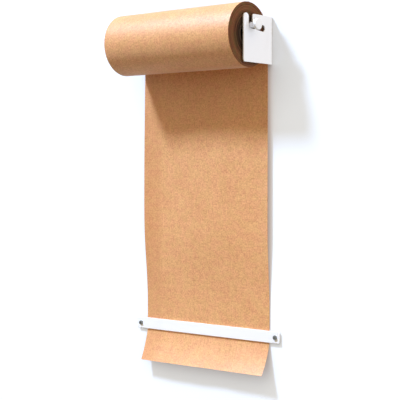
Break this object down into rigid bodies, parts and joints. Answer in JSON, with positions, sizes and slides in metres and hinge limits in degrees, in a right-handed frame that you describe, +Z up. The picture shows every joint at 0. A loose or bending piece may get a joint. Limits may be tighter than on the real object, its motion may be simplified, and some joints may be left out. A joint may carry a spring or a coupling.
{
  "type": "wall paper roll holder with tear bar",
  "caption": "Wall holder for a roll of wrapping paper: slotted steel brackets carry a rod through the roll, and the paper hangs behind a flat tear bar lower down the wall.",
  "frame": {"origin": "on the wall plane, at the centre of the four bracket screws", "axes": "+X along the roll to the right seen from the room, +Y into the wall, +Z up"},
  "size_m": [0.348, 0.151, 0.6723],
  "materials": {
    "white_powder_coat": "satin white powder coat",
    "zinc_plated_steel": "dull zinc plate",
    "rod_metal": "drawn, satin",
    "knob_white": "gloss white",
    "kraft_paper": "uncoated brown kraft",
    "core_board": "spiral wound grey-brown board"
  },
  "bodies": {
    "root": {"left_bracket": "white_powder_coat", "right_bracket": "white_powder_coat", "tear_bar": "white_powder_coat", "left_bar_spacer": "white_powder_coat", "right_bar_spacer": "white_powder_coat", "left_upper_bracket_screw": "zinc_plated_steel", "left_lower_bracket_screw": "zinc_plated_steel", "right_upper_bracket_screw": "zinc_plated_steel", "right_lower_bracket_screw": "zinc_plated_steel", "left_bar_screw": "zinc_plated_steel", "right_bar_screw": "zinc_plated_steel"},
    "rod_set": {"roller_rod": "rod_metal", "left_rod_knob": "knob_white", "right_rod_knob": "knob_white", "left_knob_stud": "zinc_plated_steel", "right_knob_stud": "zinc_plated_steel"},
    "roll": {"paper_roll": "kraft_paper", "core_tube": "core_board"},
    "sheet": {"paper_sheet": "kraft_paper"}
  },
  "joints": [
    {"name": "rod_lift", "type": "slide", "parent": "root", "child": "rod_set", "axis": [0, 0, 1], "range_m": [0, 0.03]},
    {"name": "roll_spin", "type": "hinge", "parent": "rod_set", "child": "roll", "pos_m": [0, -0.065, 0.0062], "axis": [-1, 0, 0], "range_deg": [0, 50]},
    {"name": "paper_pull", "type": "slide", "parent": "root", "child": "sheet", "axis": [0, 0, -1], "range_m": [0, 0.051]}
  ],
  "couplings": [
    {"joint": "paper_pull", "follows": "roll_spin", "m_per_rad": 0.058}
  ]
}
